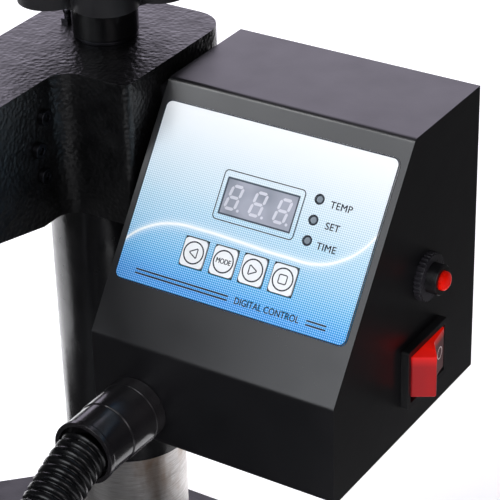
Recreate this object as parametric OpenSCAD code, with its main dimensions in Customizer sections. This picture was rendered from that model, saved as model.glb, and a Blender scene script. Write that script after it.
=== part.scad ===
// Swing-arm mug heat press: a sheet-steel control box on a cast arm that swings
// round a steel column, with a lever-driven curved press head over a mug saddle.
// Machine coordinates have the column's axis at X = Y = 0 and the bench at Z = 0.
// row() then moves every piece so that the origin is the middle of the footprint.

/* [Base] */
// Half of the base plate's width
base_half_w = 115; // [105:1:130]
// How far the base plate reaches in front of the column's axis
base_front = 280; // [270:5:320]
// How far the base plate reaches behind the column's axis
base_back = 52; // [50:1:60]
// Thickness of the base plate
base_t = 12; // [8:1:16]
// Height of the rubber feet
foot_h = 18; // [12:1:25]
// Radius of the four bench bolt holes
bench_hole_r = 4.5; // [4:0.5:5.5]

/* [Column] */
// Outer radius of the steel post
post_r = 23.5; // [23:0.1:24]
// Height of the post's top above the bench
post_top = 262; // [258:1:264]
// Outer radius of the sleeve that turns on the post
sleeve_r = 27; // [26.5:0.1:28]
// Height of the sleeve's lower end above the bench
sleeve_bottom = 99.5; // [90:0.5:120]
// Radial play of every shaft in its bore
running_gap = 0.05; // [0.02:0.01:0.09]

/* [Arm casting] */
// Height of the casting's flat top above the bench
cast_top = 284; // [282:1:286]
// Height of the casting's underside at the column
cast_bottom = 224.8; // [222:0.2:228]
// Half of the column block's width
block_half = 34.6; // [33:0.1:34.7]
// Right-hand side of the arm in front of the column block
arm_right = 4.5; // [2:0.5:8]
// Slope of the arm's underside, in degrees
arm_rise = 12.3; // [10:0.1:13]

/* [Pressure knob] */
// Radius of the circle through the tips of the knob's lobes
knob_r = 38.5; // [34:0.5:42]
// Height of the knob's rim
knob_h = 26; // [20:1:32]
// Number of lobes
knob_lobes = 7; // [5:1:8]

/* [Control box] */
// Width of the control box
box_w = 105; // [100:1:110]
// Depth of the control box at its foot
box_d = 108.7; // [105:0.1:112]
// Height of the control box
box_h = 123; // [120:1:126]
// Height of the upright strip below the sloping panel
knee_h = 41.8; // [40:0.1:44]
// How far back the sloping panel runs
slant_run = 58.5; // [56:0.5:60]
// Thickness of the sheet steel
sheet_t = 1.5; // [1.2:0.1:2]
// Radius of the bends
bend_r = 3; // [2:0.5:4]

/* [Front panel] */
// Width of the overlay
overlay_w = 99.8; // [96:0.1:101]
// Length of the overlay along the slope
overlay_l = 69.9; // [68:0.1:72]
// Thickness of the overlay
overlay_t = 0.5; // [0.3:0.1:0.8]
// Width of one key
key_w = 9.8; // [9:0.1:10.5]
// Length of one key along the slope
key_l = 10.7; // [10:0.1:11.5]
// Travel of a key
key_travel = 0.4; // [0.3:0.05:0.5]

/* [Press head] */
// Radius of the mug that the jaws hold
mug_r = 41; // [40:0.5:41.5]
// Height of the mug's axis above the bench when the jaws are closed
mug_z = 125; // [124:0.5:127]
// Length of the jaws
jaw_l = 100; // [90:1:110]
// Throw of the crank on the lever's shaft
crank_r = 21; // [20:0.5:22]
// Length of the lever from its shaft to the grip's middle
lever_l = 176; // [150:2:200]
// Radius of the ram
ram_r = 12; // [11:0.5:12]

/* [Hose] */
// Outer diameter of the corrugated hose
hose_d = 20; // [18:1:21]

/* [Hidden] */

fn_round = 64;
fn_small = 32;
eps = 0.01;

// Heights of the base
plate_z = foot_h;
plate_top = foot_h + base_t;
base_chamfer = 67;
front_chamfer = 20;
bench_x = 95;
bench_rear_y = -40;
bench_front_y = -215;
foot_places = [[-92, -250], [92, -250], [-60, 10], [60, 10]];
foot_r = 16;

pedestal_bolt_xs = [-30, 30];
pedestal_bolt_ys = [-36.5, 36.5];

// Flange and post
flange_r = 39;
flange_t = 8;
flange_boss_r = 27.5;
flange_boss_h = 4;
flange_bolt_circle_r = 33;
flange_bolt_r = 3;
post_bore_r = 17;
nut_flange_t = 3;
nut_depth = 24;

// Control box placing: its left front lower corner
box_x = 37.5;
box_y = -70.5;
box_z = 156;
box_back = box_y + box_d;
box_right = box_x + box_w;
slope = atan2(box_h - knee_h, slant_run);
slant_l = norm([slant_run, box_h - knee_h]);
bracket_y = -14;
bracket_w = 35;
bracket_z = 232;
bracket_h = 44;
bracket_screw_ys = [-4, 14];
bracket_screw_zs = [240, 268];
cover_screw_xs = [14, 91];
cover_screw_zs = [16, 58];
cover_screw_r = 1.5;
overlay_u = 2.4;
overlay_v = 22.2;
window_u = 37.2;
window_v = 55.7;
window_w = 31;
window_l = 14.2;
light_u = 75.8;
light_rows = [70.6, 62.8, 55.1];
light_r = 1.5;
key_row = 39.2;
key_columns = [32.8, 45.8, 58.4, 71.2];
key_rise = 0.5;
key_gap = 0.3;

// Right-hand side controls
breaker_y = -2.7;
breaker_z = 218.4;
breaker_nut_r = 9.6;
breaker_nut_t = 3;
breaker_stub_r = 6;
breaker_stub_out = 7.4;
reset_r = 3.7;
reset_out = 10.2;
reset_travel = 2;
knurl_teeth = 30;
rocker_y = -5.5;
rocker_z = 182.2;
bezel_l = 31;
bezel_h = 25.5;
bezel_out = 3.4;
bezel_opening_l = 27;
bezel_opening_h = 20.4;
paddle_h = 17.8;
paddle_up = 0.8;
paddle_tip = 11.3;
paddle_reach = 10.97;
pivot_r = 2;
pivot_half = 10.7;

// Hose gland on the front face
gland_x = 57;
gland_z = 170.3;
gland_l = 35;
gland_base_l = 6;
gland_thread_r = 11.4;
gland_hole_r = 10.2;
gland_bore_r = 7;
gland_recess = 3.2;
gland_locknut_r = 13.2;
gland_locknut_h = 5.5;

// Casting
block_front = -35.7;
block_back = 35.1;
arm_slope_y = -52.5;
arm_end = -178;
nipple_x = -19.5;
nipple_y = 2;
side_screw_places = [[-48.4, 269.9], [-53.2, 258.1], [-50.9, 246.4]];
head_x = -15;
head_y = -210;
head_half_w = 26;
head_gap = 18;
head_floor_z = 238;
head_floor_top = 252;
boss_bottom = 220;
boss_r = 26;
shaft_y = -192;
shaft_z = 303;
shaft_r = 7;
head_rear = -165;
head_front = -236;
cheek_top = 318;

// Pressure knob
bush_r = 12;
bush_flange_r = 12.6;
bush_flange_t = 1.4;
collar_r = 13;
collar_top = 306;
spindle_r = 8;
spindle_bottom = 228;
knob_bore_ceiling = 276;

// Jaws: pad on the mug, then its metal shell, then the cast saddle
pad_t = 3;
shell_t = 2.5;
saddle_t = 8;
pad_r = mug_r + 0.5;
shell_r = pad_r + pad_t;
saddle_r = shell_r + shell_t;
saddle_out_r = saddle_r + saddle_t;
jaw_y0 = head_y - jaw_l / 2;
ram_travel = 2 * crank_r * sin(45);
open_z = mug_z + ram_travel;
flange_plate_z = open_z + saddle_out_r + 2;
flange_plate_t = 6;
yoke_z = shaft_z + crank_r * sin(45);
yoke_half_h = 12;
yoke_t = 14;
pin_r = 5;
slot_h = 2 * (pin_r + 0.8);
web_t = 6;
web_gap = 1;
spring_seat_z = 232;
spring_seat_r = 17;
ram_collar_z = 288;
ram_collar_t = 3;
ram_neck_r = 7;
spring_r = 14.9;
spring_wire_r = 1.4;
spring_turns = 6;

// Lever
bar_t = 8;
bar_gap = 2;
bar_w = 20;
hub_r = 14;
grip_r = 15;
grip_half = head_half_w + bar_gap;

// Terminal cover and hose inlet on the upper jaw
inlet_x = 54;
inlet_y = -232;
inlet_z = 138;
cover_w = 28;
cover_l = 27;
cover_h = 46;

// Route of the hose, from the gland's end to the terminal cover's inlet
hose_route = [[57, -104.7, 170.3], [57, -108.5, 169.4], [57.2, -114.5, 167.7],
    [57.6, -120.5, 165.5], [58, -126.5, 163.05], [58.3, -132.5, 160.25], [58.5, -139.5, 156.8],
    [58.5, -147.5, 152.75], [58.3, -156.5, 148.4], [57.9, -166.5, 144.3], [57.2, -177.5, 141],
    [56.3, -188.5, 139.1], [55.3, -200, 138.3], [54.5, -211, 138], [54.1, -221, 138],
    [54, -228, 138], [54, -232, 138]];
hose_sides = 10;

// Footprint, for the place of the origin
x_low = -base_half_w;
x_high = box_right + max(reset_out, paddle_reach);
y_low = -base_front;
y_high = base_back;

// Moves machine coordinates to the middle of the footprint
module row() {
    translate([-(x_low + x_high) / 2, -(y_low + y_high) / 2, 0]) children();
}

// Points of a closed outline whose corners have the given radii
function unit(v) = v / norm(v);
function corner(a, b, c, r, n) =
    let (
        u = unit(a - b),
        w = unit(c - b),
        half = acos(u * w) / 2,
        centre = b + unit(u + w) * r / sin(half),
        p = b + u * r / tan(half),
        q = b + w * r / tan(half),
        start = atan2(p.y - centre.y, p.x - centre.x),
        end = atan2(q.y - centre.y, q.x - centre.x),
        turn = (end - start + 540) % 360 - 180
    )
    [for (i = [0:n]) centre + r * [cos(start + turn * i / n), sin(start + turn * i / n)]];
function rounded(points, radii, n = 6) =
    [for (i = [0:len(points) - 1])
        each (radii[i] == 0
            ? [points[i]]
            : corner(points[(i + len(points) - 1) % len(points)], points[i],
                points[(i + 1) % len(points)], radii[i], n))];
function rectangle(w, l, r) =
    rounded([[0, 0], [w, 0], [w, l], [0, l]], [r, r, r, r]);

// Shared shapes
module tube(r_out, r_in, h, fn = fn_round) {
    difference() {
        cylinder(r = r_out, h = h, $fn = fn);
        translate([0, 0, -1]) cylinder(r = r_in, h = h + 2, $fn = fn);
    }
}
module along_x() {
    rotate([0, 90, 0]) children();
}
module along_y() {
    rotate([-90, 0, 0]) children();
}
module profile_yz(w) {
    rotate([90, 0, 90]) linear_extrude(height = w) children();
}
module cap_screw(head_r, head_h, shank_r, shank_l) {
    difference() {
        cylinder(r = head_r, h = head_h, $fn = fn_small);
        translate([0, 0, head_h - head_h * 0.6])
            cylinder(r = head_r * 0.5, h = head_h, $fn = 6);
    }
    translate([0, 0, -shank_l]) cylinder(r = shank_r, h = shank_l + eps, $fn = fn_small);
}
module pan_screw(head_r, head_h, shank_r, shank_l) {
    difference() {
        intersection() {
            cylinder(r = head_r, h = head_h, $fn = fn_small);
            translate([0, 0, head_h - head_r * 1.6])
                sphere(r = head_r * 1.6, $fn = fn_small);
        }
        for (a = [0, 90]) {
            rotate([0, 0, a]) translate([-head_r * 0.6, -head_r * 0.12, head_h * 0.45])
                cube([head_r * 1.2, head_r * 0.24, head_h]);
        }
    }
    translate([0, 0, -shank_l]) cylinder(r = shank_r, h = shank_l + eps, $fn = fn_small);
}
// Places a child on the sloping panel: X across, Y up the slope, Z out of it
module on_slope(u, v, out = 0) {
    translate([box_x, box_y, box_z + knee_h]) rotate([slope, 0, 0])
        translate([u, v, out]) children();
}
// Places a child on the box's right-hand side, with its Z pointing out of the box
module on_right(y, z) {
    translate([box_right, y, z]) rotate([90, 0, 90]) children();
}
// A half tube round the mug's axis, from an angle to another, below or above it
module jaw_band(r_in, r_out, z_axis, edge, upper) {
    side = upper ? 1 : -1;
    intersection() {
        translate([head_x, jaw_y0, z_axis]) along_y() tube(r_out, r_in, jaw_l, 96);
        translate([head_x - r_out - 1, jaw_y0 - 1,
                upper ? z_axis + edge : z_axis - edge - r_out - 1])
            cube([2 * r_out + 2, jaw_l + 2, r_out + 1]);
    }
}

// ---- Base ----
module base_outline() {
    polygon(rounded([
        [-base_half_w + base_chamfer, base_back],
        [-base_half_w, base_back - base_chamfer],
        [-base_half_w, -base_front + front_chamfer],
        [-base_half_w + front_chamfer, -base_front],
        [base_half_w - front_chamfer, -base_front],
        [base_half_w, -base_front + front_chamfer],
        [base_half_w, base_back - base_chamfer],
        [base_half_w - base_chamfer, base_back]], [6, 6, 6, 6, 6, 6, 6, 6]));
}
module base_plate() color("#1d1d1f") row() {
    difference() {
        translate([0, 0, plate_z]) linear_extrude(height = base_t) base_outline();
        for (x = [-bench_x, bench_x], y = [bench_rear_y, bench_front_y]) {
            translate([x, y, plate_z - 1]) cylinder(r = bench_hole_r, h = base_t + 2, $fn = fn_small);
        }
        for (p = foot_places) {
            translate([p.x, p.y, plate_z - 1]) cylinder(r = 3.1, h = base_t + 2, $fn = fn_small);
        }
    }
}
module feet() color("#141414") row() {
    for (p = foot_places) {
        translate([p.x, p.y, 0]) difference() {
            union() {
                cylinder(r1 = foot_r - 3, r2 = foot_r, h = foot_h, $fn = fn_round);
            }
            translate([0, 0, -1]) cylinder(r = 8, h = 9, $fn = fn_small);
            cylinder(r = 3.1, h = foot_h + 1, $fn = fn_small);
        }
    }
}
module foot_bolts() color("#8d9094") row() {
    for (p = foot_places) {
        translate([p.x, p.y, 8]) mirror([0, 0, 1])
            cap_screw(6, 5, 3, foot_h - 8 + base_t - 1);
    }
}
module post_flange() color("#202022") row() {
    translate([0, 0, plate_top]) difference() {
        union() {
            cylinder(r = flange_r, h = flange_t, $fn = fn_round);
            cylinder(r = flange_boss_r, h = flange_t + flange_boss_h, $fn = fn_round);
        }
        translate([0, 0, -1]) cylinder(r = post_r, h = flange_t + 20, $fn = fn_round);
        for (a = [45:90:315]) {
            rotate([0, 0, a]) translate([flange_bolt_circle_r, 0, -1])
                cylinder(r = flange_bolt_r + 0.1, h = flange_t + 2, $fn = fn_small);
        }
    }
}
module flange_bolts() color("#6f7276") row() {
    for (a = [45:90:315]) {
        rotate([0, 0, a]) translate([flange_bolt_circle_r, 0, plate_top + flange_t])
            cap_screw(1.5 * flange_bolt_r, 6, flange_bolt_r, flange_t);
    }
}
module post() color("#b9bcc0") row() {
    translate([0, 0, plate_top]) tube(post_r, post_bore_r, post_top - plate_top);
}
module post_nut() color("#9b8a55") row() {
    difference() {
        union() {
            translate([0, 0, post_top - nut_depth])
                cylinder(r = post_bore_r, h = nut_depth, $fn = fn_round);
            translate([0, 0, post_top]) cylinder(r = post_r - 1, h = nut_flange_t, $fn = fn_round);
        }
        translate([0, 0, post_top - nut_depth - 1])
            cylinder(r = spindle_r + running_gap, h = nut_depth + 8, $fn = fn_round);
    }
}
module pedestal() color("#1f1f22") row() {
    difference() {
        translate([head_x, head_y, plate_top]) union() {
            translate([-38, -42, 0]) cube([76, 84, 8]);
            translate([-14, -36, 0]) cube([28, 72, 60]);
            for (y = [-30, 22]) {
                translate([0, y + 8, 0]) rotate([90, 0, 0]) linear_extrude(height = 8)
                    polygon([[-34, 7], [34, 7], [34, 40], [26, 62], [-26, 62], [-34, 40]]);
            }
        }
        translate([head_x, jaw_y0 - 1, mug_z]) along_y()
            cylinder(r = saddle_out_r, h = jaw_l + 2, $fn = 96);
        for (x = pedestal_bolt_xs, y = pedestal_bolt_ys) {
            translate([head_x + x, head_y + y, plate_top - 1])
                cylinder(r = 3.1, h = 12, $fn = fn_small);
        }
    }
}
module pedestal_bolts() color("#6f7276") row() {
    for (x = pedestal_bolt_xs, y = pedestal_bolt_ys) {
        translate([head_x + x, head_y + y, plate_top + 8]) cap_screw(4.5, 5, 3, 8);
    }
}
module lower_saddle() color("#2a2b2e") row() {
    jaw_band(saddle_r, saddle_out_r, mug_z, 10, false);
}
module lower_shell() color("#c3c6c9") row() {
    jaw_band(shell_r, saddle_r, mug_z, 5, false);
}
module lower_pad() color("#2b2828") row() {
    jaw_band(pad_r, shell_r, mug_z, 7, false);
}

// ---- Lift and swing ----
module thrust_bush() color("#1b1b1d") row() {
    difference() {
        union() {
            translate([0, 0, knob_bore_ceiling])
                cylinder(r = bush_r, h = cast_top - knob_bore_ceiling, $fn = fn_round);
            translate([0, 0, cast_top]) cylinder(r = bush_flange_r, h = bush_flange_t, $fn = fn_round);
        }
        translate([0, 0, knob_bore_ceiling - 1])
            cylinder(r = spindle_r + running_gap, h = 14, $fn = fn_round);
    }
}
module sleeve() color("#1b1b1d") row() {
    translate([0, 0, sleeve_bottom])
        tube(sleeve_r, post_r + running_gap, cast_bottom - sleeve_bottom);
}
module arm_plan() {
    polygon(rounded([
        [block_half, block_front], [block_half, block_back], [-block_half, block_back],
        [-block_half, arm_end], [arm_right, arm_end], [arm_right, block_front]],
        [3.5, 14, 14, 0, 0, 9]));
}
module arm_side() {
    rise = (arm_slope_y - arm_end) * tan(arm_rise);
    polygon([
        [block_back, cast_bottom], [block_back, cast_top], [arm_end, cast_top],
        [arm_end, cast_bottom + rise], [arm_slope_y, cast_bottom]]);
}
module cheek_side() {
    polygon(rounded([
        [head_rear, head_floor_z], [head_rear, cast_top + 1], [shaft_y + hub_r + 6, cheek_top],
        [shaft_y - hub_r - 2, cheek_top], [head_front, head_floor_top + 12], [head_front, head_floor_z]],
        [0, 8, 12, 12, 4, 3]));
}
module floor_side() {
    polygon([
        [head_rear, head_floor_top - 6], [head_rear, head_floor_top], [head_front, head_floor_top],
        [head_front, head_floor_z], [head_y - 12, boss_bottom + 3], [head_y + 14, boss_bottom + 3]]);
}
module arm_casting() color("#17181a") row() {
    difference() {
        union() {
            intersection() {
                translate([0, 0, cast_bottom]) linear_extrude(height = cast_top - cast_bottom) arm_plan();
                translate([-60, 0, 0]) profile_yz(120) arm_side();
            }
            translate([head_x - head_half_w, 0, 0]) profile_yz(head_half_w - head_gap) cheek_side();
            translate([head_x + head_gap, 0, 0]) profile_yz(head_half_w - head_gap) cheek_side();
            translate([head_x - head_half_w, 0, 0]) profile_yz(2 * head_half_w) floor_side();
            translate([head_x, head_y, boss_bottom])
                cylinder(r = boss_r, h = head_floor_top - boss_bottom - 1, $fn = fn_round);
        }
        translate([0, 0, cast_bottom - 1])
            cylinder(r = post_r + running_gap, h = knob_bore_ceiling - cast_bottom + 1, $fn = fn_round);
        translate([0, 0, knob_bore_ceiling - 1])
            cylinder(r = bush_r + running_gap, h = cast_top - knob_bore_ceiling + 2, $fn = fn_round);
        translate([head_x, head_y, boss_bottom - 1])
            cylinder(r = ram_r + running_gap, h = head_floor_top - boss_bottom + 2, $fn = fn_round);
        translate([head_x, head_y, spring_seat_z])
            cylinder(r = spring_seat_r, h = 30, $fn = fn_round);
        translate([head_x - head_half_w - 1, shaft_y, shaft_z]) along_x()
            cylinder(r = shaft_r + running_gap, h = 2 * head_half_w + 2, $fn = fn_round);
        for (p = side_screw_places) {
            translate([arm_right - 12, p.x, p.y]) along_x() cylinder(r = 2.5, h = 20, $fn = fn_small);
        }
        translate([nipple_x, nipple_y, cast_top - 8]) cylinder(r = 2.2, h = 10, $fn = fn_small);
    }
}
module side_screws() color("#4a4b4e") row() {
    for (p = side_screw_places) {
        translate([arm_right, p.x, p.y]) along_x() cap_screw(3.2, 2.4, 2.5, 11);
    }
}
module grease_nipple() color("#6c6d72") row() {
    translate([nipple_x, nipple_y, cast_top]) {
        translate([0, 0, -7]) cylinder(r = 2.2, h = 7 + eps, $fn = fn_small);
        cylinder(r = 3, h = 2, $fn = 6);
        translate([0, 0, 1.9]) cylinder(r = 1.5, h = 2.4, $fn = fn_small);
        translate([0, 0, 4.9]) sphere(r = 2, $fn = fn_small);
    }
}

// ---- Control box ----
function box_profile(t, r) =
    let (
        s = t * tan(slope / 2),
        q = t * tan((90 - slope) / 2)
    )
    rounded([
        [box_back - (t > 0 ? -1 : 0), box_z + t], [box_back - (t > 0 ? -1 : 0), box_z + box_h - t],
        [box_y + slant_run + s, box_z + box_h - t], [box_y + t, box_z + knee_h - q],
        [box_y + t, box_z + t]], [0, 0, r, r, r]);
module box_bracket() color("#232326") row() {
    difference() {
        translate([block_half + 0.1, bracket_y, bracket_z])
            cube([box_x - block_half - 0.1, bracket_w, bracket_h]);
        for (y = bracket_screw_ys, z = bracket_screw_zs) {
            translate([block_half - 1, y, z]) along_x() cylinder(r = 2.6, h = 6, $fn = fn_small);
        }
    }
    for (y = bracket_screw_ys, z = bracket_screw_zs) {
        translate([box_x + sheet_t, y, z]) along_x() cap_screw(4, 3, 2.5, sheet_t + 2);
    }
}
module box_shell() color("#1c1c1f") row() {
    difference() {
        translate([box_x, 0, 0]) profile_yz(box_w) polygon(box_profile(0, bend_r));
        translate([box_x + sheet_t, 0, 0]) profile_yz(box_w - 2 * sheet_t)
            polygon(box_profile(sheet_t, bend_r - sheet_t));
        on_slope(window_u, window_v, -sheet_t - 1) cube([window_w, window_l, sheet_t + 2]);
        for (v = light_rows) {
            on_slope(light_u, v, -sheet_t - 1) cylinder(r = light_r + 0.2, h = sheet_t + 2, $fn = fn_small);
        }
        for (u = key_columns) {
            on_slope(u - key_w / 2 - key_gap, key_row - key_l / 2 - key_gap, -sheet_t - 1)
                cube([key_w + 2 * key_gap, key_l + 2 * key_gap, sheet_t + 2]);
        }
        on_right(breaker_y, breaker_z) translate([0, 0, -sheet_t - 1])
            cylinder(r = breaker_stub_r, h = sheet_t + 2, $fn = fn_small);
        on_right(rocker_y, rocker_z) translate([-14, -11.2, -sheet_t - 1])
            cube([28, 22.4, sheet_t + 2]);
        translate([gland_x, box_y - 1, gland_z]) along_y()
            cylinder(r = gland_hole_r, h = sheet_t + 2, $fn = fn_small);
        for (y = bracket_screw_ys, z = bracket_screw_zs) {
            translate([box_x - 1, y, z]) along_x() cylinder(r = 2.6, h = sheet_t + 2, $fn = fn_small);
        }
        cover_screw_holes();
    }
}
module box_cover() color("#1a1a1c") row() {
    inner = 2 * (sheet_t + 0.3);
    difference() {
        union() {
            translate([box_x + inner / 2, box_back - sheet_t, box_z + inner / 2])
                cube([box_w - inner, sheet_t, box_h - inner]);
            translate([box_x + inner / 2, box_back - 12, box_z + inner / 2])
                cube([box_w - inner, 12, sheet_t]);
            translate([box_x + inner / 2, box_back - 12, box_z + inner / 2])
                cube([sheet_t, 12, 68]);
        }
        translate([box_x + 62, box_back - sheet_t - 1, box_z + 14]) cube([27, sheet_t + 2, 20]);
        for (i = [0:7]) {
            translate([box_x + 24 + i * 8, box_back - sheet_t - 1, box_z + 70]) cube([3, sheet_t + 2, 30]);
        }
        for (x = [58, 93]) {
            translate([box_x + x, box_back - sheet_t - 1, box_z + 24]) along_y()
                cylinder(r = 1.6, h = sheet_t + 2, $fn = fn_small);
        }
        cover_screw_holes();
    }
}
module cover_screws() color("#3a3b3d") row() {
    for (x = cover_screw_xs) {
        translate([box_x + x, box_back - 6, box_z]) mirror([0, 0, 1])
            pan_screw(2.6, 1.6, cover_screw_r, 5);
    }
    for (z = cover_screw_zs) {
        translate([box_x, box_back - 6, box_z + z]) rotate([0, -90, 0])
            pan_screw(2.6, 1.6, cover_screw_r, 5);
    }
}
module cover_screw_holes() {
    for (x = cover_screw_xs) {
        translate([box_x + x, box_back - 6, box_z - 1])
            cylinder(r = cover_screw_r + 0.05, h = 6, $fn = fn_small);
    }
    for (z = cover_screw_zs) {
        translate([box_x - 1, box_back - 6, box_z + z]) along_x()
            cylinder(r = cover_screw_r + 0.05, h = 6, $fn = fn_small);
    }
}
module overlay() color("#8fd0ee") row() {
    on_slope(overlay_u, overlay_v) difference() {
        linear_extrude(height = overlay_t) polygon(rectangle(overlay_w, overlay_l, 3));
        translate([window_u - overlay_u, window_v - overlay_v, -1])
            cube([window_w, window_l, overlay_t + 2]);
        for (u = key_columns) {
            translate([u - key_w / 2 - key_gap - overlay_u, key_row - key_l / 2 - key_gap - overlay_v, -1])
                cube([key_w + 2 * key_gap, key_l + 2 * key_gap, overlay_t + 2]);
        }
        for (v = light_rows) {
            translate([light_u - overlay_u, v - overlay_v, -1])
                cylinder(r = light_r + 0.1, h = overlay_t + 2, $fn = fn_small);
        }
    }
}
module display_window() color("#7f858c") row() {
    on_slope(window_u + 0.2, window_v + 0.2, -1.2) cube([window_w - 0.4, window_l - 0.4, 1.6]);
}
module display_module() color("#3b3f45") row() {
    on_slope(window_u + 0.5, window_v + 0.6, -9.5) cube([window_w - 1, window_l - 1.2, 8.2]);
}
module indicator_lights() color("#9aa0a5") row() {
    for (v = light_rows) {
        on_slope(light_u, v, -9.5) {
            cylinder(r = light_r, h = 9.3, $fn = fn_small);
            translate([0, 0, 9]) intersection() {
                sphere(r = light_r, $fn = fn_small);
                cylinder(r = light_r, h = 0.9 + eps, $fn = fn_small);
            }
        }
    }
}
module control_board() color("#2c6b3a") row() {
    on_slope(8, 24, -11.1) cube([88, 60, 1.6]);
    for (u = key_columns) {
        on_slope(u - 3, key_row - 3, -9.5) cube([6, 6, 6.5]);
    }
}
module transformer() color("#b88a3c") row() {
    translate([box_x + 12, box_y + 60, box_z + sheet_t]) {
        cube([42, 34, 34]);
        translate([-5, 6, 5]) cube([52, 22, 24]);
    }
}
module relay() color("#dfe0dc") row() {
    translate([box_x + 12, box_y + 22, box_z + sheet_t]) {
        cube([45, 34, 5]);
        translate([2, 3, 4.9]) cube([41, 28, 9]);
    }
}
module mains_inlet() color("#151515") row() {
    translate([box_x + 75.5, box_back, box_z + 24]) {
        difference() {
            union() {
                translate([-13.3, -22, -9.8]) cube([26.6, 23, 19.6]);
                translate([-22, eps, -11.5]) cube([44, 3, 23]);
            }
            translate([-12, -14, -8]) cube([24, 20, 16]);
        }
        for (x = [-7, 0, 7]) {
            translate([x - 1, -15, x == 0 ? 1 : -3]) cube([2, 14, 4]);
        }
    }
}
module breaker_body() color("#19191a") row() {
    on_right(breaker_y, breaker_z) difference() {
        union() {
            translate([0, 0, -34]) cylinder(r = 9, h = 32, $fn = fn_round);
            translate([0, 0, -3])
                cylinder(r = breaker_stub_r - 0.1, h = breaker_stub_out + 3, $fn = fn_round);
        }
        translate([0, 0, breaker_stub_out - 8]) cylinder(r = reset_r + 0.15, h = 9, $fn = fn_round);
    }
}
module breaker_nut() color("#101011") row() {
    on_right(breaker_y, breaker_z) difference() {
        union() {
            cylinder(r = breaker_nut_r - 0.6, h = breaker_nut_t, $fn = fn_round);
            for (i = [0:knurl_teeth - 1]) {
                rotate([0, 0, i * 360 / knurl_teeth]) translate([breaker_nut_r - 0.6, 0, 0])
                    cylinder(r = 0.6, h = breaker_nut_t - 0.4, $fn = 16);
            }
        }
        translate([0, 0, -1]) cylinder(r = breaker_stub_r, h = breaker_nut_t + 2, $fn = fn_round);
    }
}
module rocker_bezel() color("#121213") row() {
    on_right(rocker_y, rocker_z) difference() {
        union() {
            linear_extrude(height = bezel_out)
                translate([-bezel_l / 2, -bezel_h / 2]) polygon(rectangle(bezel_l, bezel_h, 1.5));
            translate([-13.8, -11, -24]) cube([27.6, 22, 24 + eps]);
        }
        translate([-bezel_opening_l / 2, -bezel_opening_h / 2, -16])
            cube([bezel_opening_l, bezel_opening_h, 30]);
        translate([0, -pivot_half - 0.1, 0]) along_y()
            cylinder(r = pivot_r + running_gap, h = 2 * pivot_half + 0.2, $fn = fn_small);
    }
}
module gland_body() color("#111112") row() {
    translate([gland_x, box_y, gland_z]) rotate([90, 0, 0]) difference() {
        union() {
            translate([0, 0, -12]) cylinder(r = gland_hole_r - 0.1, h = 13, $fn = fn_round);
            cylinder(r = 13, h = gland_base_l, $fn = fn_round);
            translate([0, 0, gland_base_l - eps]) cylinder(r = gland_thread_r, h = 12, $fn = fn_round);
        }
        translate([0, 0, -13]) cylinder(r = gland_bore_r, h = 40, $fn = fn_round);
    }
}
module gland_nut() color("#0e0e0f") row() {
    length = gland_l - gland_base_l;
    translate([gland_x, box_y - gland_base_l, gland_z]) rotate([90, 0, 0]) difference() {
        rotate_extrude($fn = fn_round) polygon([
            [0, 0], [12.8, 0], [12.8, 14.2], [12.4, 14.6], [12.4, length - 2.6],
            [12.8, length - 2.2], [12.8, length], [0, length]]);
        translate([0, 0, -1]) cylinder(r = gland_bore_r, h = 40, $fn = fn_round);
        translate([0, 0, -1]) cylinder(r = gland_thread_r, h = 13, $fn = fn_round);
        translate([0, 0, length - gland_recess]) cylinder(r = hose_d / 2 + 1, h = 10, $fn = fn_round);
    }
}
module gland_locknut() color("#151516") row() {
    translate([gland_x, box_y + sheet_t + gland_locknut_h, gland_z]) rotate([90, 0, 0]) difference() {
        cylinder(r = gland_locknut_r, h = gland_locknut_h, $fn = 6);
        translate([0, 0, -1]) cylinder(r = gland_hole_r - 0.1, h = 8, $fn = fn_round);
    }
}

// ---- Pressure knob ----
module knob() color("#151516") row() {
    rim_r = knob_r - 9;
    lobe_r = 12.5;
    translate([0, 0, collar_top]) difference() {
        union() {
            cylinder(r = rim_r, h = knob_h, $fn = fn_round);
            for (i = [0:knob_lobes - 1]) {
                rotate([0, 0, i * 360 / knob_lobes]) translate([knob_r - lobe_r, 0, 1])
                    cylinder(r = lobe_r, h = knob_h - 3, $fn = fn_small);
            }
            translate([0, 0, knob_h - eps]) cylinder(r1 = 24, r2 = 20, h = 5, $fn = fn_round);
        }
        translate([0, 0, -1]) cylinder(r = spindle_r, h = knob_h - 3, $fn = fn_round);
        translate([0, 0, knob_h]) cylinder(r = 14, h = 8, $fn = fn_round);
    }
}
module knob_collar() color("#1a1a1b") row() {
    start = cast_top + bush_flange_t + 0.1;
    translate([0, 0, start]) difference() {
        cylinder(r = collar_r, h = collar_top - start, $fn = fn_round);
        translate([0, 0, -1]) cylinder(r = spindle_r, h = 40, $fn = fn_round);
    }
}
module spindle() color("#a9acb0") row() {
    translate([0, 0, spindle_bottom])
        cylinder(r = spindle_r, h = collar_top + knob_h - 4 - spindle_bottom, $fn = fn_round);
}
module knob_cap() color("#1f1f20") row() {
    translate([0, 0, collar_top + knob_h]) {
        cylinder(r = 13.8, h = 4, $fn = fn_round);
        translate([0, 0, 4 - eps]) cylinder(r1 = 13.8, r2 = 11, h = 2, $fn = fn_round);
    }
}

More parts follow.
